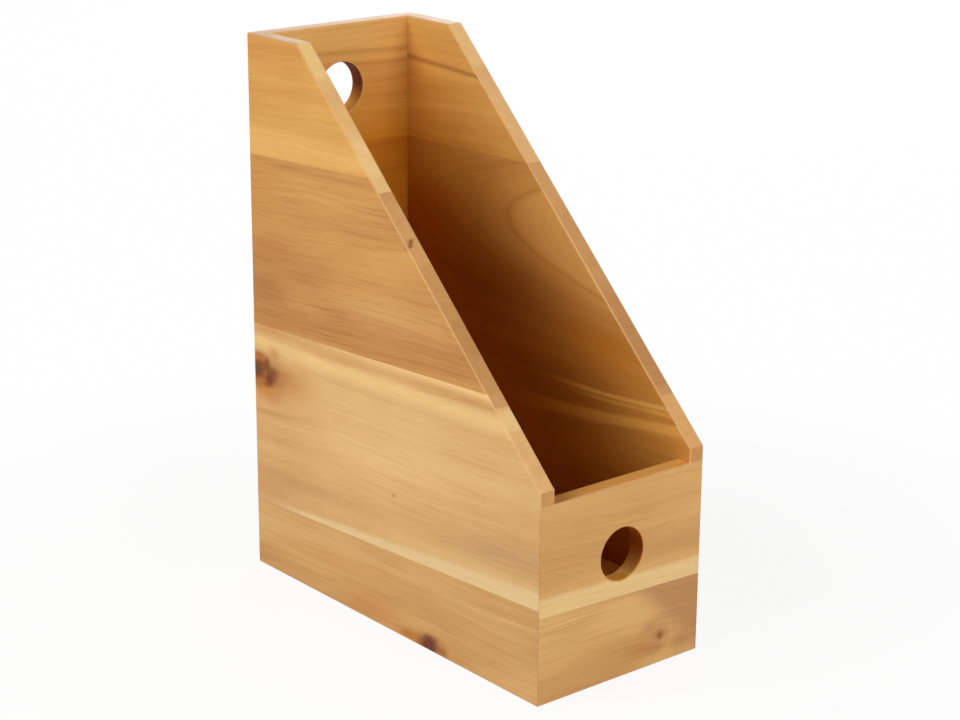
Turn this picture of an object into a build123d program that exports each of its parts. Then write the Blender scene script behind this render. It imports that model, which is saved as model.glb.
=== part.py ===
from build123d import *

import os
from math import radians, sqrt, tan

# Magazine rack: a tall open box with mitred corners, sloping sides and a finger hole front and back.
# Origin at the middle of the footprint, on the surface it stands on. The front faces -Y and +Z is up.

# Overall sizes, in millimetres
width = 116.5  # across the front
depth = 255.0  # front to back
height = 320.0  # the back, and the high end of the sides
wall = 10.0  # every upright panel
top_run = 48.0  # level top of each side, behind the slope
ear_height = 119.5  # low end of each side, at the front
front_drop = 8.0  # the front's top edge below the ears on each side of it
ease = 1.0  # rounding of the exposed arrises

# Finger holes, one in the front and one in the back
finger_hole = 30.0  # diameter
rim_ease = 0.6  # rounding of the rims
front_hole_height = 71.5  # centre above the floor
back_hole_drop = 37.0  # centre below the back's top edge

# Base, let into a groove in the four walls
base_lift = 27.0  # its underside above the floor
base_thickness = 8.0
groove_depth = 4.0
base_slip = 0.2  # room over the base in its groove
base_gap = 0.5  # room to swell at each edge of the base
base_line = -6.0  # glue line between its two boards, from the middle

# Glue lines between the staves, at the two back corners and at the two ends of the front
low_line_left = 41.0  # heights above the floor
low_line_right = 38.5
mid_line_left = 150.0
mid_line_right = 142.5
front_line_left = 50.0
front_line_right = 45.5
top_stave_left = 69.0  # widths of the top staves, which hold the back's finger hole
top_stave_right = 71.5
left_rise = 3.0  # degrees by which the lines climb along the left side, towards the front
right_rise = 1.3  # the same on the right side

# Blind splines across the four mitres
spline_width = 8.0  # half of it in each panel
spline_thickness = 3.0
spline_heel = 3.0  # from the inside corner, along the mitre
spline_slip = 0.1  # room for glue on each face
spline_rise = 10.0  # foot of the splines above the base
spline_stop = 12.0  # top of the splines below the wall's top edge

# Sizes that follow from these
inner_width = width - 2 * wall
inner_depth = depth - 2 * wall
front_height = ear_height - front_drop
spline_foot = base_lift + base_thickness + spline_rise
spline_reach = (spline_heel + spline_thickness / 2) / sqrt(2)
high_line_left = height - top_stave_left
high_line_right = height - top_stave_right
left_climb = depth * tan(radians(left_rise))
right_climb = depth * tan(radians(right_rise))

# Corners: which side in X and in Y, and how high the mitre reaches
corners = {
    "front_left": (-1, -1, front_height),
    "front_right": (1, -1, front_height),
    "back_left": (-1, 1, height),
    "back_right": (1, 1, height),
}

os.makedirs("parts", exist_ok=True)


def save(part, name):
    part.label = name
    export_step(part, f"parts/{name}.step")


def spline_plane(side_x, side_y, lift):
    centre_x = side_x * (inner_width / 2 + spline_reach)
    centre_y = side_y * (inner_depth / 2 + spline_reach)
    return Plane(origin=(centre_x, centre_y, lift), x_dir=(side_y, -side_x, 0), z_dir=(0, 0, 1))


# The box as it is glued up and sanded, before it is told apart into its pieces
with BuildPart() as carcass:
    with BuildSketch(Plane.YZ):
        with BuildLine():
            Polyline(
                (-depth / 2, 0),
                (depth / 2, 0),
                (depth / 2, height),
                (depth / 2 - top_run, height),
                (-depth / 2, ear_height),
                close=True,
            )
        make_face()
    extrude(amount=width / 2, both=True)

    with BuildSketch(Plane.XY):
        Rectangle(inner_width, inner_depth)
    extrude(amount=height, mode=Mode.SUBTRACT)

    # the front stands lower than the ears
    with BuildSketch(Plane.XY.offset(front_height)):
        with Locations((0, -depth / 2)):
            Rectangle(inner_width, 2 * wall)
    extrude(amount=height - front_height, mode=Mode.SUBTRACT)

    # every exposed arris is eased, while inside corners and the inside of the foot stay sharp
    inside_foot = carcass.faces().sort_by(Axis.Z).first.inner_wires().edges()
    arrises = carcass.edges().filter_by(lambda edge: not edge.is_interior)
    fillet(arrises - inside_foot, radius=ease)

    # finger holes through the front and the back
    for offset, centre in ((inner_depth / 2, front_hole_height), (-depth / 2, height - back_hole_drop)):
        with BuildSketch(Plane.XZ.offset(offset)):
            with Locations((0, centre)):
                Circle(finger_hole / 2)
        extrude(amount=wall, mode=Mode.SUBTRACT)
    rims = carcass.edges().filter_by(GeomType.CIRCLE).group_by(SortBy.RADIUS)[-1]
    fillet(rims, radius=rim_ease)

    # groove for the base, run round the inside of all four walls
    with BuildSketch(Plane.XY.offset(base_lift)):
        Rectangle(inner_width + 2 * groove_depth, inner_depth + 2 * groove_depth)
    extrude(amount=base_thickness + base_slip, mode=Mode.SUBTRACT)

    # blind slots for the splines, square to the mitres
    for side_x, side_y, top in corners.values():
        with BuildSketch(spline_plane(side_x, side_y, spline_foot - spline_slip)):
            Rectangle(spline_width + 2 * spline_slip, spline_thickness + 2 * spline_slip)
        extrude(amount=top - spline_stop - spline_foot + 2 * spline_slip, mode=Mode.SUBTRACT)


# What lies between the two mitres at one end of the box
def mitred_end(side_y, top):
    with BuildPart() as end:
        with BuildSketch(Plane.XY):
            with BuildLine():
                Polyline(
                    (-width / 2, side_y * depth / 2),
                    (width / 2, side_y * depth / 2),
                    (inner_width / 2, side_y * inner_depth / 2),
                    (-inner_width / 2, side_y * inner_depth / 2),
                    close=True,
                )
            make_face()
        extrude(amount=top)
    return end.part


# The front's mitres stop at its top edge, so the ears above it keep square ends, flush with the front's face
front_end = mitred_end(-1, front_height)
back_end = mitred_end(1, height)


# One stave of a panel: the band between two glue lines, each given by its heights at the panel's two ends
def make_stave(name, plane, span, lower, upper, trims):
    with BuildPart() as stave:
        add(carcass.part)
        with BuildSketch(plane):
            with BuildLine():
                Polyline(
                    (-span / 2, lower[0]),
                    (span / 2, lower[1]),
                    (span / 2, upper[1]),
                    (-span / 2, upper[0]),
                    close=True,
                )
            make_face()
        extrude(amount=wall, mode=Mode.INTERSECT)
        for solid, mode in trims:
            add(solid, mode=mode)
    save(stave.part, name)


floor_line = (0, 0)
top_line = (height, height)
tiers = ["bottom", "lower", "upper", "top"]
side_trims = [(front_end, Mode.SUBTRACT), (back_end, Mode.SUBTRACT)]
left_heights = [low_line_left, mid_line_left, high_line_left]
right_heights = [low_line_right, mid_line_right, high_line_right]

# Left side, from its front end to its back end
left_lines = [floor_line, *[(line + left_climb, line) for line in left_heights], top_line]
left_plane = Plane.YZ.offset(-width / 2)
for tier, lower, upper in zip(tiers, left_lines, left_lines[1:]):
    make_stave(f"left_side_{tier}_stave", left_plane, depth, lower, upper, side_trims)

# Right side, from its front end to its back end
right_lines = [floor_line, *[(line + right_climb, line) for line in right_heights], top_line]
right_plane = Plane.YZ.offset(inner_width / 2)
for tier, lower, upper in zip(tiers, right_lines, right_lines[1:]):
    make_stave(f"right_side_{tier}_stave", right_plane, depth, lower, upper, side_trims)

# Back, from its left end to its right end
back_lines = [floor_line, *zip(left_heights, right_heights), top_line]
back_plane = Plane.XZ.offset(-depth / 2)
for tier, lower, upper in zip(tiers, back_lines, back_lines[1:]):
    make_stave(f"back_{tier}_stave", back_plane, width, lower, upper, [(back_end, Mode.INTERSECT)])

# Front, from its left end to its right end
front_lines = [floor_line, (front_line_left, front_line_right), (front_height, front_height)]
front_plane = Plane.XZ.offset(inner_depth / 2)
for tier, lower, upper in zip(["bottom", "top"], front_lines, front_lines[1:]):
    make_stave(f"front_{tier}_stave", front_plane, width, lower, upper, [(front_end, Mode.INTERSECT)])

# Base, two boards resting in the groove
base_half = inner_width / 2 + groove_depth - base_gap
base_length = inner_depth + 2 * (groove_depth - base_gap)
base_boards = {
    "base_left_board": (-base_half, base_line),
    "base_right_board": (base_line, base_half),
}
for name, (start, end) in base_boards.items():
    with BuildPart() as board:
        with BuildSketch(Plane.XY.offset(base_lift)):
            with Locations(((start + end) / 2, 0)):
                Rectangle(end - start, base_length)
        extrude(amount=base_thickness)
    save(board.part, name)

# Splines, one across each mitre
for corner, (side_x, side_y, top) in corners.items():
    with BuildPart() as spline:
        with BuildSketch(spline_plane(side_x, side_y, spline_foot)):
            Rectangle(spline_width, spline_thickness)
        extrude(amount=top - spline_stop - spline_foot)
    save(spline.part, f"{corner}_spline")
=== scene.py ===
import bpy
from math import cos, radians, sin
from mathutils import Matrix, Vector


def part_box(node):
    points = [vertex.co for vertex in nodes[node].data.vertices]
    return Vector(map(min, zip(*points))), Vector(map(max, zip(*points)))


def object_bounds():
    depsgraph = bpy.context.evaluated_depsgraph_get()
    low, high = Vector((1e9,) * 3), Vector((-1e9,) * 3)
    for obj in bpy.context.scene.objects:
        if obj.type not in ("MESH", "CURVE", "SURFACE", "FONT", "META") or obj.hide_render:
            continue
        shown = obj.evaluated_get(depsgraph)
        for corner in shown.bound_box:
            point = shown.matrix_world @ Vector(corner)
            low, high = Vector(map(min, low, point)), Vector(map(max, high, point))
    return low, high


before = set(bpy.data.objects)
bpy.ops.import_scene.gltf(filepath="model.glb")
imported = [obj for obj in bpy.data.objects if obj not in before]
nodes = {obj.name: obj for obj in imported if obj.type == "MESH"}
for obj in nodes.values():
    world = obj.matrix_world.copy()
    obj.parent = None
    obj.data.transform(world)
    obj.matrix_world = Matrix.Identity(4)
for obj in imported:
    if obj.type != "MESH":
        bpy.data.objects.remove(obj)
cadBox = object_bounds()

mm = 0.001
halfWidth, halfDepth, backHeight = (length / mm for length in cadBox[1])
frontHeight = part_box("front_top_stave")[1].z / mm
earHeight, topRun = 119.5, 48.0  # low end of each side, and its level top behind the slope
wallThickness, holeRadius = 10.0, 15.0
print("frame loaded,", len(nodes), "pieces of wood")


# colours are written as they look on screen, 0 to 255
def paint(red, green, blue):
    linear = []
    for level in (red, green, blue):
        share = level / 255
        linear.append(share / 12.92 if share <= 0.04045 else ((share + 0.055) / 1.055) ** 2.4)
    return (*linear, 1.0)


# small helpers for wiring nodes
def addNode(tree, kind, **settings):
    made = tree.nodes.new("ShaderNode" + kind)
    for key, value in settings.items():
        setattr(made, key, value)
    return made


def feed(tree, socket, value):
    if isinstance(value, bpy.types.NodeSocket):
        tree.links.new(value, socket)
    else:
        socket.default_value = value


def calc(tree, operation, *values):
    made = addNode(tree, "Math", operation=operation)
    for socket, value in zip(made.inputs, values):
        feed(tree, socket, value)
    return made.outputs[0]


def invert(tree, value):
    return calc(tree, "SUBTRACT", 1.0, value)


def times(tree, value, *factors):
    for factor in factors:
        value = calc(tree, "MULTIPLY", value, factor)
    return value


def fallOff(tree, square):
    return calc(tree, "EXPONENT", times(tree, square, -1.0))


def dotWith(tree, vector, axis):
    made = addNode(tree, "VectorMath", operation="DOT_PRODUCT")
    feed(tree, made.inputs[0], vector)
    made.inputs[1].default_value = axis
    return made.outputs["Value"]


def ramp01(tree, value, low, high, smooth=True):
    made = addNode(tree, "MapRange", interpolation_type="SMOOTHSTEP" if smooth else "LINEAR")
    for name, given in (("Value", value), ("From Min", low), ("From Max", high)):
        feed(tree, made.inputs[name], given)
    return made.outputs["Result"]


# 1 from low to high, with soft ends
def between(tree, value, low, high, soft):
    return times(tree, ramp01(tree, value, low - soft, low + soft),
                 invert(tree, ramp01(tree, value, high - soft, high + soft)))


def mixColour(tree, share, first, second, mode="MIX"):
    made = addNode(tree, "Mix", data_type="RGBA", blend_type=mode)
    sockets = {socket.identifier: socket for socket in made.inputs}
    feed(tree, sockets["Factor_Float"], share)
    feed(tree, sockets["A_Color"], first)
    feed(tree, sockets["B_Color"], second)
    return next(socket for socket in made.outputs if socket.identifier == "Result_Color")


def noise(tree, x, y, z, detail, roughness=0.5):
    place = addNode(tree, "CombineXYZ")
    for socket, value in zip(place.inputs, (x, y, z)):
        feed(tree, socket, value)
    made = addNode(tree, "TexNoise", noise_dimensions="3D")
    feed(tree, made.inputs["Vector"], place.outputs[0])
    made.inputs["Scale"].default_value = 1.0
    made.inputs["Detail"].default_value = detail
    made.inputs["Roughness"].default_value = roughness
    return made.outputs["Fac"]


def newGroup(name, inputs, outputs):
    group = bpy.data.node_groups.new(name, "ShaderNodeTree")
    for label in inputs:
        group.interface.new_socket(label, in_out="INPUT", socket_type="NodeSocketFloat")
    for label in outputs:
        group.interface.new_socket(label, in_out="OUTPUT", socket_type="NodeSocketFloat")
    source = group.nodes.new("NodeGroupInput")
    sink = group.nodes.new("NodeGroupOutput")
    return group, source.outputs, sink.inputs


def useGroup(tree, group, *values):
    made = addNode(tree, "Group", node_tree=group)
    for socket, value in zip(made.inputs, values):
        feed(tree, socket, value)
    return made.outputs


# the four walls are cut from one glued-up board, so the grain runs on round the corners: each wall says where its
# board starts, which way it runs, how many degrees the grain climbs along it, how high its lowest glue line is
# at the start, and how high the mitres at its two ends reach
walls = {
    "left": dict(start=(-halfWidth, halfDepth), along=(0, -1, 0), inward=(1, 0, 0), rise=3.0, line=41.0,
                 length=2 * halfDepth, mitres=(backHeight, frontHeight)),
    "front": dict(start=(-halfWidth, -halfDepth), along=(1, 0, 0), inward=(0, 1, 0), rise=-2.2, line=50.0,
                  length=2 * halfWidth, mitres=(frontHeight, frontHeight)),
    "right": dict(start=(halfWidth, -halfDepth), along=(0, 1, 0), inward=(-1, 0, 0), rise=-1.3, line=44.3,
                  length=2 * halfDepth, mitres=(frontHeight, backHeight)),
    "back": dict(start=(halfWidth, halfDepth), along=(-1, 0, 0), inward=(0, -1, 0), rise=1.2, line=38.5,
                 length=2 * halfWidth, mitres=(backHeight, backHeight)),
}
boardRun = 0.0
for wall in walls.values():
    wall["run"] = boardRun  # how far along the board this wall was cut
    boardRun += wall["length"]


# a place given across the wall and above the floor, told along and across the grain
def grainPoint(wall, aside, height):
    tilt = radians(wall["rise"])
    lift = height - wall["line"]
    return wall["run"] + aside * cos(tilt) + lift * sin(tilt), lift * cos(tilt) - aside * sin(tilt)


def grainCoordinates(tree, wall):
    tilt = radians(wall["rise"])
    along, up = Vector(wall["along"]), Vector((0, 0, 1))
    shifted = addNode(tree, "VectorMath", operation="SUBTRACT")
    feed(tree, shifted.inputs[0], addNode(tree, "TexCoord").outputs["Object"])
    shifted.inputs[1].default_value = Vector((*wall["start"], wall["line"])) * mm
    offset = shifted.outputs[0]
    lengthwise = dotWith(tree, offset, (along * cos(tilt) + up * sin(tilt)) / mm)
    crosswise = dotWith(tree, offset, (up * cos(tilt) - along * sin(tilt)) / mm)
    inwards = dotWith(tree, offset, Vector(wall["inward"]) / mm)
    level = dotWith(tree, offset, along / mm)
    height = calc(tree, "ADD", dotWith(tree, offset, up / mm), wall["line"])
    return calc(tree, "ADD", lengthwise, wall["run"]), crosswise, inwards, level, height


# grain: broad bands, growth lines, clouds, sparse dark strands, fibres and pores, all long along the board (mm),
# each with the stretch of its noise that counts, from low to high
grain = dict(
    seedStep=37.7,  # each board has its own piece of the noise
    wave=dict(height=5.0, length=150.0, detail=1.0),
    ripple=dict(height=0.9, length=36.0, detail=2.0),
    layers=dict(
        Band=dict(width=22.0, length=420.0, depth=30.0, detail=1.0, low=0.28, high=0.72),
        Line=dict(width=5.0, length=170.0, depth=9.0, detail=3.0, low=0.26, high=0.74),
        Cloud=dict(width=26.0, length=62.0, depth=24.0, detail=2.0, low=0.28, high=0.72),
        Strand=dict(width=1.8, length=58.0, depth=4.0, detail=3.0, low=0.47, high=0.70),
        Fibre=dict(width=0.8, length=20.0, depth=1.6, detail=2.0, low=0.28, high=0.72),
        Pore=dict(width=0.4, length=4.5, depth=0.6, detail=1.0, low=0.60, high=0.74)))


def makeGrainGroup(spec):
    group, given, out = newGroup("acaciaGrain", ["Along", "Across", "Through", "Seed"], ["Field", *spec["layers"]])
    along, across, through, seed = (given[label] for label in ("Along", "Across", "Through", "Seed"))
    offset = times(group, seed, spec["seedStep"])

    def layer(value, width, length, depth, detail, low=0.0, high=1.0):
        found = noise(group, calc(group, "ADD", calc(group, "DIVIDE", along, length), offset),
                      calc(group, "DIVIDE", value, width), calc(group, "DIVIDE", through, depth), detail)
        return ramp01(group, found, low, high, smooth=False)

    def waves(height, length, detail):
        found = layer(across, length / 4, length, length / 3, detail)  # a wave is longer than it is wide or deep
        return times(group, calc(group, "SUBTRACT", found, 0.5), 2 * height)

    field = calc(group, "ADD", across, waves(**spec["wave"]))
    field = calc(group, "ADD", field, waves(**spec["ripple"]))
    feed(group, out["Field"], field)
    for label, values in spec["layers"].items():
        feed(group, out[label], layer(field, **values))
    return group


# knot: a ragged, blotchy core, a warm halo, faint rings, and grain that parts to flow round it,
# with all reaches told in half lengths and half heights of the knot
knotShape = dict(ragged=dict(scale=0.9, detail=3.0, roughness=0.6), core=(0.3, 1.15),
                 spots=dict(scale=0.8, detail=2.0, roughness=0.5), spotShift=7.3, blotch=(0.38, 0.62), blotchShare=0.1,
                 halo=(2.6, 1.8), rings=(4.4, 4.4), ringSpacing=2.6, ringWander=5.0, parting=(3.4, 2.4))


def makeKnotGroup(spec):
    group, given, out = newGroup(
        "acaciaKnot", ["Along", "Across", "Centre Along", "Centre Across", "Half Length", "Half Height", "Push"],
        ["Across", "Core", "Blotch", "Halo", "Swirl"])
    above = calc(group, "SUBTRACT", given["Across"], given["Centre Across"])
    sideways = calc(group, "SUBTRACT", given["Along"], given["Centre Along"])
    sideways = calc(group, "DIVIDE", sideways, given["Half Length"])
    upwards = calc(group, "DIVIDE", above, given["Half Height"])

    def square(longer, taller):
        flat, tall = calc(group, "DIVIDE", sideways, longer), calc(group, "DIVIDE", upwards, taller)
        return calc(group, "ADD", times(group, flat, flat), times(group, tall, tall))

    def spots(place, scale, detail, roughness):
        return noise(group, times(group, sideways, scale), times(group, upwards, scale), place, detail, roughness)

    ragged = calc(group, "SUBTRACT", spots(given["Centre Along"], **spec["ragged"]), 0.5)
    near = calc(group, "ADD", ragged, calc(group, "SQRT", square(1.0, 1.0)))
    core = invert(group, ramp01(group, near, *spec["core"]))
    spotPlace = calc(group, "ADD", given["Centre Along"], spec["spotShift"])
    blotch = ramp01(group, spots(spotPlace, **spec["spots"]), *spec["blotch"])
    halo = fallOff(group, square(*spec["halo"]))
    rings = times(group, near, spec["ringSpacing"])
    rings = calc(group, "SINE", calc(group, "MULTIPLY_ADD", ragged, spec["ringWander"], rings))
    swirl = times(group, calc(group, "MULTIPLY_ADD", rings, 0.5, 0.5), fallOff(group, square(*spec["rings"])))
    shift = times(group, above, fallOff(group, square(*spec["parting"])), given["Push"])
    parted = calc(group, "SUBTRACT", given["Across"], shift)
    for label, value in dict(Across=parted, Core=core, Blotch=blotch, Halo=halo, Swirl=swirl).items():
        feed(group, out[label], value)
    return group


grainGroup = makeGrainGroup(grain)
knotGroup = makeKnotGroup(knotShape)
print("grain and knot groups made")


# soft-edged strip between two slanted lines, each given by two places on the wall; a span fades its ends
def streakMask(tree, wall, along, across, streak):
    sides = []
    for edge, softness in zip(("lower", "upper"), streak["soft"]):
        (firstAlong, firstAcross), (lastAlong, lastAcross) = (grainPoint(wall, *place) for place in streak[edge])
        slope = (lastAcross - firstAcross) / (lastAlong - firstAlong)
        line = calc(tree, "MULTIPLY_ADD", along, slope, firstAcross - slope * firstAlong)
        sides.append(ramp01(tree, calc(tree, "SUBTRACT", across, line), -softness, softness))
    strip = times(tree, sides[0], invert(tree, sides[1]))
    if "span" in streak:
        first, last, fade = streak["span"]
        strip = times(tree, strip, between(tree, along, wall["run"] + first, wall["run"] + last, fade))
    return strip


# soft oval round a place on the wall
def patchMask(tree, wall, along, across, patch):
    parts = []
    for value, centre, size in zip((along, across), grainPoint(wall, *patch["at"]), patch["size"]):
        share = calc(tree, "DIVIDE", calc(tree, "SUBTRACT", value, centre), size)
        parts.append(times(tree, share, share))
    return fallOff(tree, calc(tree, "ADD", *parts))


# finish: satin lacquer over sanded wood
finish = dict(roughness=0.44, roughnessSpread=0.12, boreRoughness=0.3, specular=0.24, coat=0.03, coatRoughness=0.35,
              bump=0.25, bumpDepth=0.00006, fibreBump=0.4)
# how the parts of the grain add up, how strong the fine ones are, and how growth lines break up patches and streaks
grainMix = dict(line=0.28, cloud=0.28, toneStops=(0.15, 0.5, 0.85), strands=0.38, strandTop=1.2, fibres=0.30,
                pores=0.25, endFade=0.7, patches=(0.6, 0.7), streaks=(0.3, 0.85))
# edges, rims and seams: shares of the sloping edges' tones, partly painted light, of the level tops' painted light, of
# the painted highlights on arrises and hole rims and of the dark seams, and widths in mm
edges = dict(slope=0.8, level=0.75, arris=0.4, rimHighlight=0.5, seam=0.35, seamWidth=(0.1, 0.5), cornerWidth=(0.8, 1.6),
             cornerHold=0.85, mitreStop=1.0, skin=0.3, boreWidth=(0.2, 0.7), rimWidth=(0.7, 1.0))
# cosines at which a face starts to count as such, and counts in full
facings = dict(inside=(0.5, 0.9), slope=(0.93, 0.985), level=(0.9, 0.98), flat=(0.93, 0.99), paintedBoreFootLight=(-0.2, 1.0))
# tones mixed in: painted highlights for arrises and hole rims, dark seams, and knot halos and rings
woodTones = dict(arris=paint(210, 166, 118), seam=paint(120, 74, 38), rimHighlight=paint(228, 176, 108),
                 halo=paint(196, 128, 62), swirl=paint(170, 116, 70))
# tints multiplied in: on the inside faces and in the bores they are painted shade, and on a bore's upward foot painted
# light
woodTints = dict(strand=(0.70, 0.58, 0.46, 1.0), fibre=(0.80, 0.72, 0.62, 1.0), pore=(0.62, 0.52, 0.42, 1.0),
                 blotch=(0.56, 0.50, 0.46, 1.0), endGrain=(0.74, 0.60, 0.46, 1.0), paintedShadeRim=(1.0, 1.0, 1.0, 1.0),
                 paintedShadeDeep=(0.90, 0.60, 0.05, 1.0), bore=(0.68, 0.33, 0.02, 1.0),
                 paintedBoreFootLight=(1.22, 1.05, 0.62, 1.0), mottle=(0.90, 0.87, 0.84, 1.0))
# painted shade inside the box reaches its deepest this far below the opening
paintedShadeReach = 100.0  # how far below the opening the inside has its deepest tone
endSharpness = 4.0  # how square to the grain a face has to be to count as end grain
slopeNormal = Vector((0, earHeight - backHeight, 2 * halfDepth - topRun)).normalized()
slopeReach = slopeNormal.dot((0, -halfDepth, earHeight))


def makeStaveWood(name, wall, spec):
    material = bpy.data.materials.new(name + "Wood")
    material.use_nodes = True
    tree = material.node_tree
    tree.nodes.clear()
    along, across, through, level, height = grainCoordinates(tree, wall)

    # knots part the grain first
    parted, knotMasks = across, []
    for knot in spec.get("knots", []):
        halfSize = [length / 2 for length in knot["size"]]
        made = useGroup(tree, knotGroup, along, parted, *grainPoint(wall, *knot["at"]), *halfSize,
                        knot.get("push", 0.0))
        parted = made["Across"]
        knotMasks.append((knot, made))

    # a flat-sawn stave has nested arches, the others run straight with a little slant
    figure = parted
    if "arch" in spec:
        arch = spec["arch"]
        tipAlong, tipAcross = grainPoint(wall, *arch["at"])
        rise = calc(tree, "SUBTRACT", parted, tipAcross)
        run = times(tree, calc(tree, "SUBTRACT", along, tipAlong), arch["opening"])
        figure = calc(tree, "DIVIDE", calc(tree, "ADD", times(tree, rise, rise), run), arch["spread"])
    elif "slant" in spec:
        figure = calc(tree, "MULTIPLY_ADD", along, -spec["slant"], parted)
    made = useGroup(tree, grainGroup, along, figure, through, float(spec["seed"]))
    field, band, line, cloud, strand, fibre, pore = (made[label] for label in ("Field", *grain["layers"]))

    lineShare = spec.get("lineShare", grainMix["line"])
    tone = times(tree, line, lineShare)
    tone = calc(tree, "MULTIPLY_ADD", band, 1.0 - grainMix["cloud"] - lineShare, tone)
    tone = calc(tree, "MULTIPLY_ADD", cloud, grainMix["cloud"], tone)
    ramp = addNode(tree, "ValToRGB")
    feed(tree, ramp.inputs["Fac"], tone)
    stops = ramp.color_ramp.elements
    stops.new(0.5)  # a third one, between the two it comes with
    for stop, place, shade in zip(stops, grainMix["toneStops"], spec["tones"]):
        stop.position, stop.color = place, paint(*shade)
    colour = ramp.outputs["Color"]

    facing = addNode(tree, "NewGeometry").outputs["Normal"]
    inside = ramp01(tree, dotWith(tree, facing, wall["inward"]), *facings["inside"])
    endGrain = calc(tree, "ABSOLUTE", dotWith(tree, facing, wall["along"]))
    endGrain = calc(tree, "POWER", endGrain, endSharpness)
    faces = dict(inside=inside, end=endGrain)

    # painted figure: arches, patches and streaks, along the waves of the grain unless they are called straight; a few
    # patches are painted shade and painted light instead
    wavy = calc(tree, "ADD", parted, calc(tree, "SUBTRACT", field, figure))
    if "arch" in spec:
        inner = invert(tree, ramp01(tree, field, *arch["soft"]))
        colour = mixColour(tree, times(tree, inner, arch["share"]), colour, paint(*arch["tone"]))
        for place, wide, share in arch["lines"]:
            away = calc(tree, "DIVIDE", calc(tree, "SUBTRACT", field, place), wide)
            edge = times(tree, fallOff(tree, times(tree, away, away)), share, inside)
            colour = mixColour(tree, edge, colour, paint(*arch["edge"]))
    for kind, makeMask in (("patches", patchMask), ("streaks", streakMask)):
        for mark in spec.get(kind, []):
            follow = across if mark.get("straight") else wavy
            share = times(tree, makeMask(tree, wall, along, follow, mark), mark["share"],
                          calc(tree, "MULTIPLY_ADD", line, *grainMix[kind]))
            if "only" in mark:
                share = times(tree, share, faces[mark["only"]])
            colour = mixColour(tree, share, colour, paint(*mark["tone"]))

    # fine grain, weaker on the end grain
    longGrain = calc(tree, "MULTIPLY_ADD", endGrain, -grainMix["endFade"], 1.0)
    strandDark = times(tree, strand, calc(tree, "SUBTRACT", grainMix["strandTop"], tone))
    for mask, share, tint in ((strandDark, spec.get("strands", grainMix["strands"]), woodTints["strand"]),
                              (invert(tree, fibre), spec.get("fibres", grainMix["fibres"]), woodTints["fibre"]),
                              (pore, grainMix["pores"], woodTints["pore"])):
        colour = mixColour(tree, times(tree, mask, share, longGrain), colour, tint, "MULTIPLY")

    # sloping edges have bands of tone, partly the wood showing there and partly painted light that makes them paler,
    # the level tops get a painted light tone, and the knots show on them too
    if "slope" in spec:
        sloping = ramp01(tree, dotWith(tree, facing, slopeNormal), *facings["slope"])
        sloping = times(tree, sloping, edges["slope"])
        for low, high, soft, shade in spec["slope"]:
            share = times(tree, sloping, between(tree, height, low, high, soft))
            colour = mixColour(tree, share, colour, paint(*shade))
        colour = mixColour(tree, times(tree, sloping, invert(tree, line)), colour, woodTints["mottle"], "MULTIPLY")
    if "topLightTone" in spec:
        levelTop = ramp01(tree, dotWith(tree, facing, (0, 0, 1)), *facings["level"])
        colour = mixColour(tree, times(tree, levelTop, edges["level"]), colour, paint(*spec["topLightTone"]))
    for knot, made in knotMasks:
        if "tone" not in knot:  # this one only parts the grain
            continue
        core = times(tree, made["Core"], knot["share"])
        if "layer" in knot:  # a knot that leans across the wall and shows only at some depth in it
            depth, reach, lean = knot["layer"]
            above = calc(tree, "SUBTRACT", across, grainPoint(wall, *knot["at"])[1])
            away = calc(tree, "SUBTRACT", calc(tree, "SUBTRACT", through, depth), times(tree, above, lean))
            away = calc(tree, "DIVIDE", away, reach)
            core = times(tree, core, fallOff(tree, times(tree, away, away)))
        for ring in ("halo", "swirl"):
            if ring in knot:
                colour = mixColour(tree, times(tree, made[ring.title()], knot[ring]), colour, woodTones[ring])
        blotch = times(tree, made["Blotch"], knot.get("blotch", knotShape["blotchShare"]))
        shade = mixColour(tree, blotch, paint(*knot["tone"]), woodTints["blotch"], "MULTIPLY")
        colour = mixColour(tree, core, colour, shade)

    # end grain is deeper in tone, and the faces inside the box and the bores carry painted shade, on the inside faces
    # deeper further down below the opening
    colour = mixColour(tree, endGrain, colour, woodTints["endGrain"], "MULTIPLY")
    if "paintedShadeTint" in spec:
        paintedShadeTint = spec["paintedShadeTint"]
    else:
        place = addNode(tree, "TexCoord").outputs["Object"]
        below = calc(tree, "SUBTRACT", slopeReach, dotWith(tree, place, slopeNormal / mm))
        below = calc(tree, "MINIMUM", below, calc(tree, "SUBTRACT", backHeight, height))
        deep = ramp01(tree, below, 0.0, spec.get("paintedShadeReach", paintedShadeReach), smooth=False)
        paintedShadeTint = mixColour(tree, deep, spec.get("paintedShadeRim", woodTints["paintedShadeRim"]),
                               spec.get("paintedShadeDeep", woodTints["paintedShadeDeep"]))
    colour = mixColour(tree, inside, colour, paintedShadeTint, "MULTIPLY")
    bore = None
    # bores: painted shade, a painted light on the upward-facing foot, and a painted highlight on the rim of the hole
    if "hole" in spec:
        aside = calc(tree, "SUBTRACT", level, wall["length"] / 2)
        above = calc(tree, "SUBTRACT", height, spec["hole"])
        radius = calc(tree, "SQRT", calc(tree, "ADD", times(tree, aside, aside), times(tree, above, above)))
        outwards = calc(tree, "SUBTRACT", radius, holeRadius)
        bore = invert(tree, ramp01(tree, outwards, *edges["boreWidth"]))
        lit = ramp01(tree, dotWith(tree, facing, (0, 0, 1)), *facings["paintedBoreFootLight"])
        paintedBoreShade = mixColour(tree, lit, spec.get("paintedBoreShade", woodTints["bore"]), woodTints["paintedBoreFootLight"])
        colour = mixColour(tree, bore, colour, paintedBoreShade, "MULTIPLY")
        rimHighlight = times(tree, invert(tree, bore), invert(tree, ramp01(tree, outwards, *edges["rimWidth"])))
        colour = mixColour(tree, times(tree, rimHighlight, inside, edges["rimHighlight"]), colour, woodTones["rimHighlight"])
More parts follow.
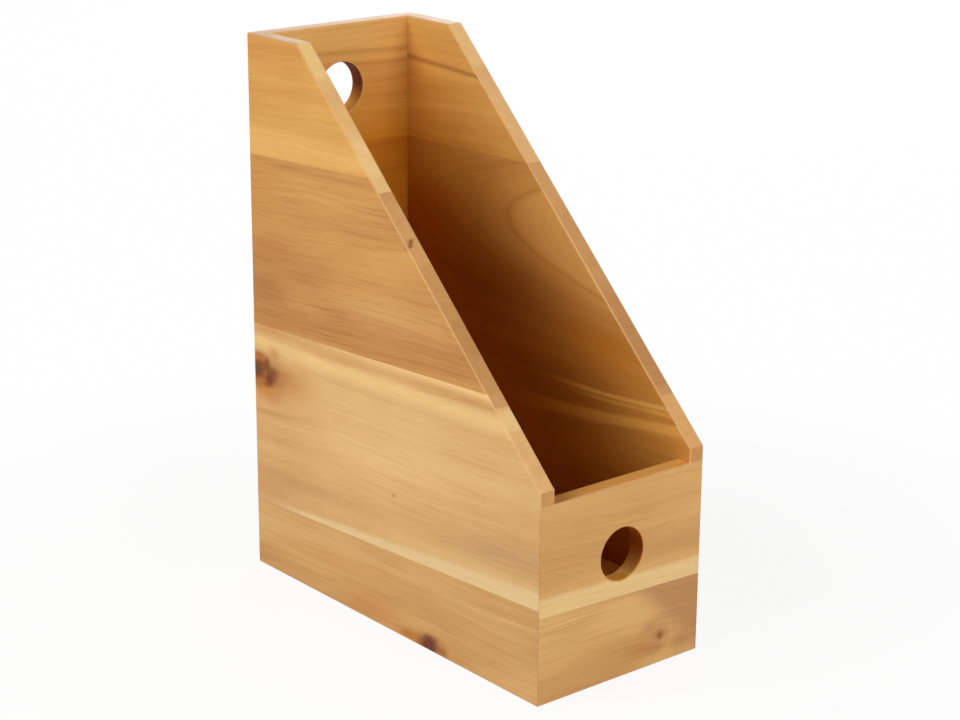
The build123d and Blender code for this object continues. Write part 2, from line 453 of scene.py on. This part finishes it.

    # thin dark seams at the mitres, and a painted highlight along the arrises, but hardly where two walls are mitred
    outside = calc(tree, "LESS_THAN", through, wallThickness - edges["skin"])
    arrisHighlightShare = edges["arris"]
    for fromEnd, top in zip((level, calc(tree, "SUBTRACT", wall["length"], level)), wall["mitres"]):
        gap = calc(tree, "ABSOLUTE", calc(tree, "SUBTRACT", fromEnd, through))
        mitred = calc(tree, "LESS_THAN", height, top - edges["mitreStop"])
        seam = times(tree, invert(tree, ramp01(tree, gap, *edges["seamWidth"])), edges["seam"], mitred, outside)
        colour = mixColour(tree, seam, colour, woodTones["seam"])
        corner = times(tree, invert(tree, ramp01(tree, gap, *edges["cornerWidth"])), mitred)
        arrisHighlightShare = calc(tree, "MULTIPLY", arrisHighlightShare, calc(tree, "MULTIPLY_ADD", corner, -edges["cornerHold"], 1.0))
    flat = calc(tree, "ABSOLUTE", dotWith(tree, facing, slopeNormal))
    for plane in ((1, 0, 0), (0, 1, 0), (0, 0, 1)):
        flat = calc(tree, "MAXIMUM", calc(tree, "ABSOLUTE", dotWith(tree, facing, plane)), flat)
    arris = times(tree, invert(tree, ramp01(tree, flat, *facings["flat"])), arrisHighlightShare)
    if bore:
        arris = times(tree, arris, invert(tree, bore))
    colour = mixColour(tree, arris, colour, woodTones["arris"])

    # satin finish, duller in the bores, over fibres and pores
    shader = addNode(tree, "BsdfPrincipled")
    feed(tree, shader.inputs["Base Color"], colour)
    roughness = calc(tree, "MULTIPLY_ADD", invert(tree, fibre), finish["roughnessSpread"], finish["roughness"])
    if bore:
        roughness = calc(tree, "MULTIPLY_ADD", bore, finish["boreRoughness"], roughness)
    feed(tree, shader.inputs["Roughness"], roughness)
    shader.inputs["Specular IOR Level"].default_value = finish["specular"]
    shader.inputs["Coat Weight"].default_value = finish["coat"]
    shader.inputs["Coat Roughness"].default_value = finish["coatRoughness"]
    bump = addNode(tree, "Bump")
    bump.inputs["Strength"].default_value = finish["bump"]
    bump.inputs["Distance"].default_value = finish["bumpDepth"]
    feed(tree, bump.inputs["Height"], calc(tree, "SUBTRACT", times(tree, fibre, finish["fibreBump"]), pore))
    feed(tree, shader.inputs["Normal"], bump.outputs["Normal"])
    output = addNode(tree, "OutputMaterial")
    feed(tree, output.inputs["Surface"], shader.outputs["BSDF"])
    return material


# left side: places are from the back edge and above the floor, the slope's bands run from a low to a high
# height with some softness, and a layered knot has its depth, reach and lean
leftStaves = {
    "left_side_top_stave": dict(
        seed=1, tones=[(199, 139, 63), (213, 157, 79), (225, 174, 96)], strands=0.2, topLightTone=(226, 188, 150),
        slope=[(200, 400, 2, (250, 206, 138)), (302, 400, 4, (255, 218, 147)), (290, 299, 5, (236, 188, 133)),
               (200, 276, 5, (255, 215, 150))],
        patches=[dict(at=(55, 264.5), size=(130, 10), tone=(231, 183, 102), share=0.65),
                 dict(at=(10, 308), size=(60, 14), tone=(208, 147, 74), share=0.45),
                 dict(at=(20, 287), size=(60, 3), tone=(205, 146, 76), share=0.5)]),
    "left_side_upper_stave": dict(
        seed=2, slant=0.02, tones=[(180, 122, 61), (199, 142, 75), (209, 156, 86)], strands=0.68,
        slope=[(150, 179, 3, (206, 154, 98)), (179, 400, 3, (198, 145, 92)), (194, 400, 8, (211, 157, 97)),
               (216, 400, 6, (223, 169, 108)), (244, 400, 3, (213, 156, 100)), (250, 400, 0.5, (251, 212, 150))],
        knots=[dict(at=(144.1, 226.9), size=(7, 7), tone=(142, 84, 36), share=0.9, blotch=0.5, layer=(3.5, 1.8, 0.9))],
        patches=[dict(at=(12, 174), size=(28, 12), tone=(174, 115, 58), share=0.85),
                 dict(at=(140, 169), size=(55, 7), tone=(190, 135, 76), share=0.5),
                 dict(at=(124, 185), size=(42, 7), tone=(214, 164, 98), share=0.7, straight=True),
                 dict(at=(55, 172), size=(20, 6), tone=(210, 150, 82), share=0.6, straight=True),
                 dict(at=(18, 199), size=(32, 10), tone=(186, 124, 60), share=0.9, straight=True),
                 dict(at=(18, 158), size=(34, 6), tone=(181, 121, 61), share=0.95, straight=True),
                 dict(at=(50, 186), size=(26, 7), tone=(192, 132, 68), share=0.85, straight=True),
                 dict(at=(5, 236), size=(22, 20), tone=(197, 136, 66), share=0.8, straight=True),
                 dict(at=(150, 196.5), size=(50, 14), tone=(211, 160, 92), share=0.45),
                 dict(at=(52, 162.5), size=(24, 4.5), tone=(183, 124, 64), share=0.7, straight=True),
                 dict(at=(80, 238), size=(60, 9), tone=(217, 165, 94), share=0.6)]),
    "left_side_lower_stave": dict(
        seed=3, tones=[(209, 159, 98), (219, 174, 113), (227, 186, 126)], strands=0.28,
        slope=[(100, 400, 2, (235, 189, 127)), (145, 400, 1.5, (245, 207, 145)), (153.5, 400, 1, (230, 184, 120)),
               (155.0, 400, 0.4, (204, 151, 98))],
        knots=[dict(at=(2.5, 122.5), size=(11, 13), tone=(103, 51, 0), share=1.0),
               dict(at=(13.2, 127.2), size=(7, 11), tone=(130, 64, 0), share=0.9),
               dict(at=(18, 123), size=(15, 10), tone=(132, 70, 0), share=0.9),
               dict(at=(15.8, 118.8), size=(11, 10), tone=(116, 47, 0), share=1.0),
               dict(at=(12, 114.8), size=(9, 4.5), tone=(142, 72, 0), share=0.9),
               dict(at=(133, 82), size=(3.0, 2.4), tone=(150, 96, 46), share=0.5, halo=0.15, push=0.4, blotch=0.5),
               dict(at=(9, 122), size=(26, 18), push=0.4)],
        patches=[dict(at=(15, 54), size=(45, 12), tone=(200, 149, 92), share=0.75, straight=True),
                 dict(at=(130, 100), size=(85, 16), tone=(236, 194, 132), share=0.7, straight=True),
                 dict(at=(22, 101), size=(30, 3), tone=(194, 138, 78), share=0.6),
                 dict(at=(20, 84), size=(50, 4), tone=(206, 152, 92), share=0.5),
                 dict(at=(95, 126), size=(80, 8), tone=(228, 188, 126), share=0.45),
                 dict(at=(222, 76), size=(50, 8), tone=(194, 149, 98), share=0.65),
                 dict(at=(40, 63), size=(90, 5), tone=(201, 150, 91), share=0.75),
                 dict(at=(12, 148.3), size=(18, 2.6), tone=(200, 142, 76), share=0.7, straight=True),
                 dict(at=(36, 121), size=(22, 12), tone=(203, 146, 80), share=0.9, straight=True),
                 dict(at=(30, 124.5), size=(10, 3.5), tone=(192, 128, 62), share=0.6, straight=True),
                 dict(at=(20, 121), size=(11, 10), tone=(168, 108, 48), share=0.95, straight=True),
                 dict(at=(7, 122.5), size=(9, 6.5), tone=(124, 62, 0), share=2.0, straight=True),
                 dict(at=(11.8, 121), size=(1.2, 2.8), tone=(190, 128, 64), share=0.8, straight=True),
                 dict(at=(6, 115), size=(7, 4), tone=(160, 95, 4), share=1.4, straight=True),
                 dict(at=(5, 131.3), size=(8, 3), tone=(172, 102, 26), share=1.1, straight=True),
                 dict(at=(14, 110), size=(14, 5.5), tone=(199, 130, 58), share=1.0, straight=True),
                 dict(at=(8, 140.5), size=(15, 2.8), tone=(234, 192, 122), share=1.2, straight=True),
                 dict(at=(20.5, 136.3), size=(5, 3.2), tone=(194, 130, 58), share=1.3, straight=True)],
        streaks=[dict(lower=((0, 146.0), (257, 160.0)), upper=((0, 152), (257, 169)), soft=(2.0, 0.8),
                      tone=(242, 200, 134), share=0.9, straight=True, span=(90, 300, 50)),
                 dict(lower=((0, 144.4), (257, 155.2)), upper=((0, 150), (257, 160.5)), soft=(2.4, 2.0),
                      tone=(208, 150, 86), share=0.4, straight=True, span=(12, 300, 14)),
                 dict(lower=((0, 144), (257, 154.8)), upper=((0, 147.6), (257, 157.6)), soft=(1.6, 1.6),
                      tone=(202, 143, 82), share=0.5, straight=True, span=(175, 300, 30)),
                 dict(lower=((0, 134.5), (257, 144)), upper=((0, 142.6), (257, 152)), soft=(4.0, 2.4),
                      tone=(238, 198, 130), share=0.85, straight=True, span=(25, 260, 40)),
                 dict(lower=((0, 39), (257, 53.5)), upper=((0, 42), (257, 65)), soft=(0.25, 2.0),
                      tone=(231, 198, 142), share=1.0, straight=True, span=(34, 300, 24))]),
    "left_side_bottom_stave": dict(
        seed=4, tones=[(194, 141, 81), (209, 160, 98), (219, 174, 112)], strands=0.38,
        knots=[dict(at=(164.5, 3), size=(17, 15), tone=(104, 36, 0), share=0.95, halo=0.2, push=0.4, blotch=0.15)],
        patches=[dict(at=(168, 6.5), size=(5.5, 4), tone=(134, 72, 10), share=1.1, straight=True),
                 dict(at=(158, 4), size=(6, 4), tone=(142, 74, 4), share=1.2, straight=True),
                 dict(at=(146, 4), size=(9, 3), tone=(180, 114, 20), share=1.1, straight=True),
                 dict(at=(176, 3.5), size=(5, 4), tone=(156, 100, 22), share=1.0, straight=True),
                 dict(at=(192, 3.5), size=(10, 2), tone=(202, 142, 80), share=0.8, straight=True),
                 dict(at=(152, 13), size=(15, 4), tone=(210, 168, 102), share=0.8, straight=True),
                 dict(at=(112, 6), size=(24, 9), tone=(198, 132, 62), share=0.7),
                 dict(at=(58, 17), size=(42, 6), tone=(219, 174, 106), share=0.85, straight=True),
                 dict(at=(80, 25), size=(60, 7), tone=(208, 150, 84), share=0.5),
                 dict(at=(205, 22), size=(50, 12), tone=(206, 160, 100), share=0.5)],
        streaks=[dict(lower=((0, 28), (257, 42.0)), upper=((0, 29), (257, 43.2)), soft=(0.5, 0.5),
                      tone=(226, 184, 122), share=0.6, span=(190, 300, 40))]),
}
# front: places are from its left end, seen from outside
frontStaves = {
    "front_top_stave": dict(
        seed=3, hole=71.5, tones=[(202, 149, 88), (211, 161, 97), (218, 171, 106)], strands=0.28,
        topLightTone=(222, 154, 70),
        patches=[dict(at=(100, 68), size=(30, 6), tone=(190, 138, 84), share=0.55),
                 dict(at=(20, 78), size=(40, 6), tone=(198, 142, 82), share=0.4),
                 dict(at=(60, 104), size=(60, 8), tone=(210, 155, 88), share=0.5),
                 dict(at=(110, 84), size=(16, 8), tone=(218, 170, 110), share=0.6),
                 # painted light on the foot of the hole's bore
                 dict(at=(58, 57), size=(12, 3), tone=(246, 206, 140), share=0.7)],
        streaks=[dict(lower=((0, 49.5), (116, 45.5)), upper=((0, 60.5), (116, 56)), soft=(0.25, 1.8),
                      tone=(230, 195, 135), share=0.95, straight=True)]),
    "front_bottom_stave": dict(
        seed=4, tones=[(204, 153, 91), (217, 171, 107), (224, 181, 117)],
        knots=[dict(at=(88.0, 16.3), size=(4.2, 4.6), tone=(138, 82, 26), share=0.7, halo=0.1, swirl=0.25, push=0.8,
                    blotch=0.2)],
        patches=[dict(at=(68, 32), size=(13, 8), tone=(216, 173, 104), share=0.9, straight=True),
                 dict(at=(87, 25.5), size=(8, 2.6), tone=(204, 158, 100), share=0.9, straight=True),
                 dict(at=(73, 12), size=(12, 7), tone=(186, 124, 62), share=0.8, straight=True),
                 dict(at=(85, 9.5), size=(7, 3), tone=(182, 121, 67), share=0.7, straight=True),
                 dict(at=(79.5, 22), size=(6, 4), tone=(187, 134, 80), share=0.7, straight=True),
                 dict(at=(88, 16.8), size=(4.5, 3.6), tone=(160, 104, 56), share=1.0, straight=True),
                 dict(at=(104, 9), size=(10, 6), tone=(187, 134, 74), share=0.8, straight=True)],
        streaks=[dict(lower=((0, 42.4), (116, 38.4)), upper=((0, 43.6), (116, 39.4)), soft=(0.5, 0.5),
                      tone=(228, 186, 124), share=0.5, span=(-20, 40, 15)),
                 dict(lower=((0, -9), (116, -9)), upper=((0, 17), (116, 20)), soft=(1.0, 7.0),
                      tone=(195, 143, 82), share=0.75, straight=True, span=(-60, 75, 15)),
                 dict(lower=((70, 48), (99, 20)), upper=((0, 70), (116, 70)), soft=(12.0, 1.0),
                      tone=(186, 134, 82), share=0.95, straight=True)]),
}
# right side: places are from the front edge
rightStaves = {
    "right_side_top_stave": dict(
        seed=5, tones=[(202, 143, 68), (216, 161, 84), (228, 177, 100)], strands=0.15, topLightTone=(226, 188, 150),
        slope=[(200, 400, 2, (248, 202, 142)), (299, 400, 4, (252, 208, 143)), (291, 298, 4, (233, 182, 122))],
        # painted shade in the inside corner at the back
        patches=[dict(at=(247, 292), size=(16, 7), tone=(186, 122, 56), share=0.5, only="inside")],
        streaks=[dict(lower=((178, 292.4), (257, 295.4)), upper=((178, 294.6), (257, 298.6)), soft=(1.3, 1.3),
                      tone=(140, 82, 30), share=0.6, straight=True, only="inside")]),
    "right_side_upper_stave": dict(
        seed=6, tones=[(194, 137, 74), (202, 147, 81), (209, 156, 89)], lineShare=0.15, strands=0.22, fibres=0.2,
        paintedShadeRim=(1.0, 0.95, 0.82, 1.0), paintedShadeDeep=(0.80, 0.51, 0.04, 1.0),
        slope=[(100, 400, 2, (198, 143, 90)), (192, 400, 5, (215, 161, 102)), (228, 400, 8, (223, 170, 110))],
        # inside face: painted shade lower down, painted light high up near the back
        patches=[dict(at=(165, 172), size=(60, 20), tone=(140, 78, 24), share=0.55, only="inside"),
                 dict(at=(95, 157), size=(60, 15), tone=(140, 78, 24), share=0.4, only="inside"),
                 dict(at=(224, 233), size=(42, 15), tone=(212, 170, 90), share=0.8, only="inside"),
                 dict(at=(75, 156), size=(70, 15), tone=(198, 130, 36), share=0.6, only="inside")],
        arch=dict(at=(150.3, 218.5), opening=14.6, spread=24.0, soft=(-7.0, 1.0), tone=(224, 174, 106), share=0.55,
                  edge=(156, 102, 50), lines=[(0.5, 1.2, 0.28), (36.5, 2.0, 0.12)])),
    "right_side_lower_stave": dict(
        seed=7, tones=[(190, 136, 76), (203, 152, 90), (213, 166, 102)], paintedShadeRim=(1.0, 0.83, 0.48, 1.0),
        paintedShadeDeep=(0.78, 0.48, 0.04, 1.0),
        slope=[(100, 400, 2, (233, 180, 116)), (143, 400, 0.5, (202, 148, 95))],
        patches=[dict(at=(0, 116), size=(5, 12), tone=(232, 180, 120), share=0.9, only="end"),
                 # painted shade on the inside face
                 dict(at=(105, 126), size=(55, 22), tone=(150, 92, 40), share=0.4, only="inside")],
        streaks=[dict(lower=((19, 136.8), (90, 132.6)), upper=((19, 139.3), (90, 135.1)), soft=(0.9, 0.9),
                      tone=(238, 196, 136), share=0.8, span=(-40, 100, 25), only="inside"),
                 dict(lower=((18, 133.4), (70, 130.3)), upper=((18, 135.6), (70, 132.6)), soft=(0.8, 0.8),
                      tone=(236, 196, 126), share=0.5, span=(-40, 85, 20), only="inside"),
                 dict(lower=((9, 123.6), (98, 112)), upper=((9, 130), (98, 120.2)), soft=(2.0, 1.6),
                      tone=(238, 194, 128), share=0.75, span=(-40, 125, 35), only="inside")]),
    "right_side_bottom_stave": dict(
        seed=8, tones=[(188, 134, 76), (204, 153, 92), (215, 168, 106)], paintedShadeRim=(1.0, 0.83, 0.48, 1.0),
        paintedShadeDeep=(0.78, 0.48, 0.04, 1.0)),
}
# back: places are from its right end, seen from the front
backStaves = {
    "back_top_stave": dict(
        seed=5, hole=283.0, tones=[(219, 158, 82), (233, 178, 101), (243, 193, 117)], strands=0.32,
        topLightTone=(226, 188, 150), paintedBoreShade=(0.34, 0.14, 0.02, 1.0), paintedShadeReach=70.0,
        paintedShadeDeep=(0.70, 0.46, 0.05, 1.0),
        patches=[dict(at=(26, 291), size=(15, 3), tone=(228, 178, 106), share=0.6)],
        streaks=[dict(lower=((12, 301.5), (116, 303.5)), upper=((12, 303.5), (116, 305.5)), soft=(1.8, 1.8),
                      tone=(146, 86, 36), share=0.4),
                 dict(lower=((12, 294.5), (116, 297)), upper=((12, 297), (116, 300)), soft=(2.6, 2.2),
                      tone=(160, 98, 44), share=0.35)]),
    "back_upper_stave": dict(
        seed=9, slant=-0.05, tones=[(178, 119, 60), (196, 138, 74), (207, 153, 86)], paintedShadeReach=70.0),
    "back_lower_stave": dict(
        seed=10, tones=[(200, 149, 90), (218, 172, 111), (228, 187, 127)], paintedShadeDeep=(0.84, 0.56, 0.20, 1.0)),
    "back_bottom_stave": dict(
        seed=11, tones=[(188, 133, 74), (204, 153, 91), (215, 168, 106)], paintedShadeDeep=(0.84, 0.56, 0.20, 1.0)),
}
for wallName, staves in dict(left=leftStaves, front=frontStaves, right=rightStaves, back=backStaves).items():
    for nodeName, spec in staves.items():
        nodes[nodeName].material_slots[0].material = makeStaveWood(nodeName, walls[wallName], spec)
    print("wood on the", wallName, "wall:", len(staves), "staves")

# base boards and splines, with their grain front to back
insideWall = dict(start=(-halfWidth, halfDepth), along=(0, -1, 0), inward=(0, 0, 1), rise=0.0, line=27.0, run=0.0,
                  length=2 * halfDepth, mitres=(0.0, 0.0))
# painted shade on the base's top, lighter than on the walls since light falls on the base through the opening
basePaintedShade = (1.0, 0.9, 0.4, 1.0)  # the base is paler than the walls inside
splineTones = [(176, 132, 84), (189, 144, 94), (200, 156, 106)]
insidePieces = {
    "base_left_board": dict(
        seed=12, tones=[(222, 172, 104), (240, 194, 124), (248, 206, 138)], paintedShadeTint=basePaintedShade),
    "base_right_board": dict(
        seed=13, tones=[(218, 168, 100), (236, 190, 120), (245, 203, 134)], paintedShadeTint=basePaintedShade),
}
for seed, corner in enumerate(("front_left", "front_right", "back_left", "back_right"), start=14):
    insidePieces[corner + "_spline"] = dict(seed=seed, tones=splineTones)
for nodeName, spec in insidePieces.items():
    nodes[nodeName].material_slots[0].material = makeStaveWood(nodeName, insideWall, spec)
print("wood on the base and splines")

# pale floor that fades to white and keeps the shadow near the rack
studio = dict(floorSize=14.0, floorDrop=0.0002, floorTone=0.9, floorGlow=0.90, farGlow=0.99, shadowFade=(0.175, 0.5),
              worldLight=0.05)
reach = studio["floorSize"] / 2
floorMesh = bpy.data.meshes.new("paleFloor")
floorMesh.from_pydata([(-reach, -reach, 0), (reach, -reach, 0), (reach, reach, 0), (-reach, reach, 0)], [],
                      [(0, 1, 2, 3)])
floor = bpy.data.objects.new("paleFloor", floorMesh)
bpy.context.scene.collection.objects.link(floor)
floor.location.z = -studio["floorDrop"]
floorPaint = bpy.data.materials.new("paleFloorPaint")
floorPaint.use_nodes = True
tree = floorPaint.node_tree
tree.nodes.clear()
matt = addNode(tree, "BsdfDiffuse")
matt.inputs["Color"].default_value = (*[studio["floorTone"]] * 3, 1)
glow = addNode(tree, "Emission")
glow.inputs["Color"].default_value = (1, 1, 1, 1)
rays = addNode(tree, "LightPath")
seen = calc(tree, "MAXIMUM", rays.outputs["Is Camera Ray"], rays.outputs["Is Glossy Ray"])
distance = addNode(tree, "VectorMath", operation="LENGTH")
feed(tree, distance.inputs[0], addNode(tree, "TexCoord").outputs["Object"])
fade = ramp01(tree, distance.outputs["Value"], *studio["shadowFade"])
share = calc(tree, "MULTIPLY_ADD", fade, studio["farGlow"] - studio["floorGlow"], studio["floorGlow"])
surface = addNode(tree, "MixShader")
feed(tree, surface.inputs[0], calc(tree, "MULTIPLY", seen, share))
feed(tree, surface.inputs[1], matt.outputs[0])
feed(tree, surface.inputs[2], glow.outputs[0])
feed(tree, addNode(tree, "OutputMaterial").inputs["Surface"], surface.outputs[0])
floorMesh.materials.append(floorPaint)

# white world where it is seen or mirrored, with only a little light of its own
world = bpy.data.worlds.new("studioWorld")
bpy.context.scene.world = world
world.use_nodes = True
tree = world.node_tree
tree.nodes.clear()
rays = addNode(tree, "LightPath")
seen = calc(tree, "MAXIMUM", rays.outputs["Is Camera Ray"], rays.outputs["Is Glossy Ray"])
seen = calc(tree, "MAXIMUM", seen, rays.outputs["Is Transmission Ray"])
sky = addNode(tree, "Background")
sky.inputs["Color"].default_value = (1, 1, 1, 1)
feed(tree, sky.inputs["Strength"], calc(tree, "MULTIPLY_ADD", seen, 1.0 - studio["worldLight"], studio["worldLight"]))
feed(tree, addNode(tree, "OutputWorld").inputs["Surface"], sky.outputs[0])

# two softboxes, one high at the left and one lower in front, and a third for the far sides
lamps = {
    "leftSoftbox": dict(place=(-1.5, 0.22, 1.25), target=(0, 0, 0.18), size=1.1, watts=28),
    "frontSoftbox": dict(place=(0.1, -1.75, 0.75), target=(0, 0, 0.15), size=1.0, watts=21),
    "farSoftbox": dict(place=(1.7, 1.5, 0.45), target=(0, 0, 0.15), size=1.2, watts=24),
}
for lampName, spec in lamps.items():
    lamp = bpy.data.lights.new(lampName, "AREA")
    lamp.shape = "SQUARE"
    lamp.size = spec["size"]
    lamp.energy = spec["watts"]
    holder = bpy.data.objects.new(lampName, lamp)
    bpy.context.scene.collection.objects.link(holder)
    holder.location = spec["place"]
    holder.rotation_euler = (Vector(spec["target"]) - Vector(spec["place"])).to_track_quat("-Z", "Y").to_euler()

# camera at the photograph's viewing angle, turned by degrees
view = dict(place=(-0.79393, -0.96041, 0.54633), turn=(72.246, -0.377, -39.724), lens=87.837, sensor=36.0)
camera = bpy.data.objects.new("photoCamera", bpy.data.cameras.new("photoCamera"))
bpy.context.scene.collection.objects.link(camera)
camera.location = view["place"]
camera.rotation_euler = [radians(angle) for angle in view["turn"]]
camera.data.lens = view["lens"]
camera.data.sensor_width = view["sensor"]
bpy.context.scene.camera = camera
bpy.context.scene.view_settings.view_transform = "Standard"
print("floor, lamps and camera set")
